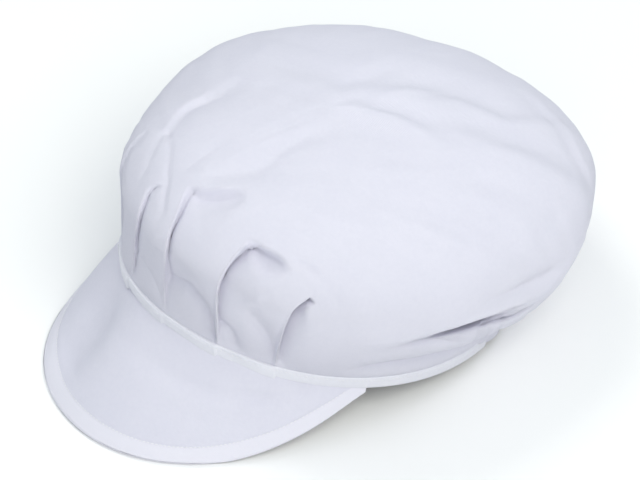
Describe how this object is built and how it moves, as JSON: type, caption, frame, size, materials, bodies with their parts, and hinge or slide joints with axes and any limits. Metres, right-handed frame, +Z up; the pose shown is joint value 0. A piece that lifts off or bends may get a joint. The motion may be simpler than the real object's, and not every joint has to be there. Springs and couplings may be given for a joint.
{
  "type": "deli hat",
  "caption": "Soft white cotton food worker's cap with a full pleated crown, a narrow hem band, an elasticated back and a short stiffened peak, lying on a table.",
  "frame": {"origin": "on the table, under the middle of the cap's bounding box", "axes": "+Z up from the table, the peak points along -Y, +X is the wearer's left"},
  "size_m": [0.205, 0.2706, 0.1158],
  "materials": {
    "crown_cotton": "matte white cotton twill",
    "hem_cotton": "matte white cotton, folded and topstitched",
    "casing_cotton": "matte white cotton gathered over elastic",
    "peak_cotton": "matte white cotton over a stiffener, topstitched",
    "sewing_thread": "soft white sewing thread"
  },
  "bodies": {
    "root": {"crown": "crown_cotton", "hem_band": "hem_cotton", "elastic_casing": "casing_cotton", "peak": "peak_cotton"}
  },
  "joints": []
}
